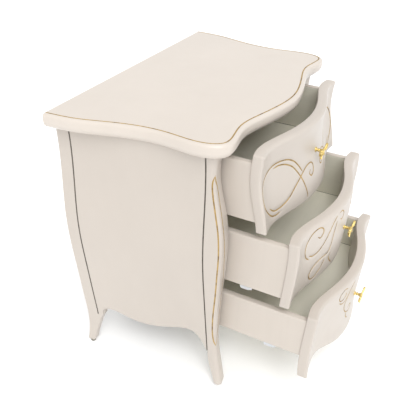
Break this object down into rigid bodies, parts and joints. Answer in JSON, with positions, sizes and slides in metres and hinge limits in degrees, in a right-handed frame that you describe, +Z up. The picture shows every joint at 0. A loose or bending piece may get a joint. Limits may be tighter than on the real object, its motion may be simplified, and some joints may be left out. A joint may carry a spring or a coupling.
{
  "type": "chest of drawers",
  "caption": "Bombe bedside chest with serpentine drawer fronts on splayed feet, brass bow knobs and gilded carved lines, drawers partly open.",
  "frame": {"origin": "centre of the stored pose's bounding box in X and Y, on the floor in Z, with the drawers drawn out as stored", "axes": "+Z up, +X to the right when facing the back from the front, the flat back faces +Y and the drawers open towards -Y"},
  "size_m": [0.604, 0.5819, 0.613],
  "materials": {
    "ivory_lacquered_wood": "sprayed satin ivory lacquer over medium-density board and solid wood, with thin gilded carved lines",
    "painted_interior_wood": "thin matt grey-olive paint inside the drawers and carcass",
    "zinc_steel": "bright zinc-plated steel",
    "cast_brass": "cast and polished brass, darker in its recesses",
    "white_plastic": "moulded white plastic"
  },
  "bodies": {
    "carcass": {"back_panel": "painted_interior_wood", "floor_glides": "zinc_steel", "left_bottom_runner": "zinc_steel", "left_front_leg": "ivory_lacquered_wood", "left_middle_runner": "zinc_steel", "left_rear_leg": "ivory_lacquered_wood", "left_runner_board": "painted_interior_wood", "left_side_panel": "ivory_lacquered_wood", "left_top_runner": "zinc_steel", "lower_divider_rail": "painted_interior_wood", "rear_foot_rail": "painted_interior_wood", "right_bottom_runner": "zinc_steel", "right_front_leg": "ivory_lacquered_wood", "right_middle_runner": "zinc_steel", "right_rear_leg": "ivory_lacquered_wood", "right_runner_board": "painted_interior_wood", "right_side_panel": "ivory_lacquered_wood", "right_top_runner": "zinc_steel", "top_front_rail": "painted_interior_wood", "top_panel": "ivory_lacquered_wood", "top_rear_rail": "painted_interior_wood", "upper_divider_rail": "painted_interior_wood"},
    "top_drawer": {"left_top_drawer_side": "painted_interior_wood", "left_top_slide": "painted_interior_wood", "right_top_drawer_side": "painted_interior_wood", "right_top_slide": "painted_interior_wood", "top_clips": "white_plastic", "top_drawer_back": "painted_interior_wood", "top_drawer_bottom": "painted_interior_wood", "top_drawer_front": "ivory_lacquered_wood", "top_knob": "cast_brass", "top_knob_screw": "zinc_steel"},
    "middle_drawer": {"left_middle_drawer_side": "painted_interior_wood", "left_middle_slide": "painted_interior_wood", "middle_clips": "white_plastic", "middle_drawer_back": "painted_interior_wood", "middle_drawer_bottom": "painted_interior_wood", "middle_drawer_front": "ivory_lacquered_wood", "middle_knob": "cast_brass", "middle_knob_screw": "zinc_steel", "right_middle_drawer_side": "painted_interior_wood", "right_middle_slide": "painted_interior_wood"},
    "bottom_drawer": {"bottom_clips": "white_plastic", "bottom_drawer_back": "painted_interior_wood", "bottom_drawer_bottom": "painted_interior_wood", "bottom_drawer_front": "ivory_lacquered_wood", "bottom_knob": "cast_brass", "bottom_knob_screw": "zinc_steel", "left_bottom_drawer_side": "painted_interior_wood", "left_bottom_slide": "painted_interior_wood", "right_bottom_drawer_side": "painted_interior_wood", "right_bottom_slide": "painted_interior_wood"}
  },
  "joints": [
    {"name": "top_drawer_slide", "type": "slide", "parent": "carcass", "child": "top_drawer", "axis": [0, -1, 0], "range_m": [-0.078, 0.137]},
    {"name": "middle_drawer_slide", "type": "slide", "parent": "carcass", "child": "middle_drawer", "axis": [0, -1, 0], "range_m": [-0.144, 0.071]},
    {"name": "bottom_drawer_slide", "type": "slide", "parent": "carcass", "child": "bottom_drawer", "axis": [0, -1, 0], "range_m": [-0.205, 0.01]}
  ]
}
